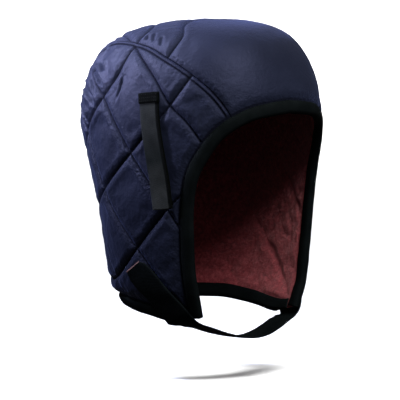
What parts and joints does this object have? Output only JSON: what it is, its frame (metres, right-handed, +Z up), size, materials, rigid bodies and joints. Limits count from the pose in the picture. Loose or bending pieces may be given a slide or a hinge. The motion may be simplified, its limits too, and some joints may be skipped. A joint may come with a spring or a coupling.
{
  "type": "helmet liner",
  "caption": "Quilted winter helmet liner that covers crown, ears and nape, with a bound face opening, a chin strap and webbing straps that fasten it in a helmet.",
  "frame": {"origin": "where the top of the head meets the lining, inside the crown on the middle plane", "axes": "+Z up, -Y towards the face opening, +X to the wearer's left"},
  "size_m": [0.1718, 0.1999, 0.2522],
  "materials": {
    "shell_nylon": "satin",
    "lining_fleece": "matte",
    "edge_binding": "matte",
    "chin_band": "matte",
    "webbing": "matte"
  },
  "bodies": {
    "root": {"crown_panel": "shell_nylon", "side_panel_right": "shell_nylon", "side_panel_left": "shell_nylon", "lining_crown": "lining_fleece", "lining_right": "lining_fleece", "lining_left": "lining_fleece", "face_binding": "edge_binding", "neck_binding": "edge_binding", "chin_strap": "chin_band", "fastening_strap_right": "webbing", "fastening_strap_left": "webbing"}
  },
  "joints": []
}
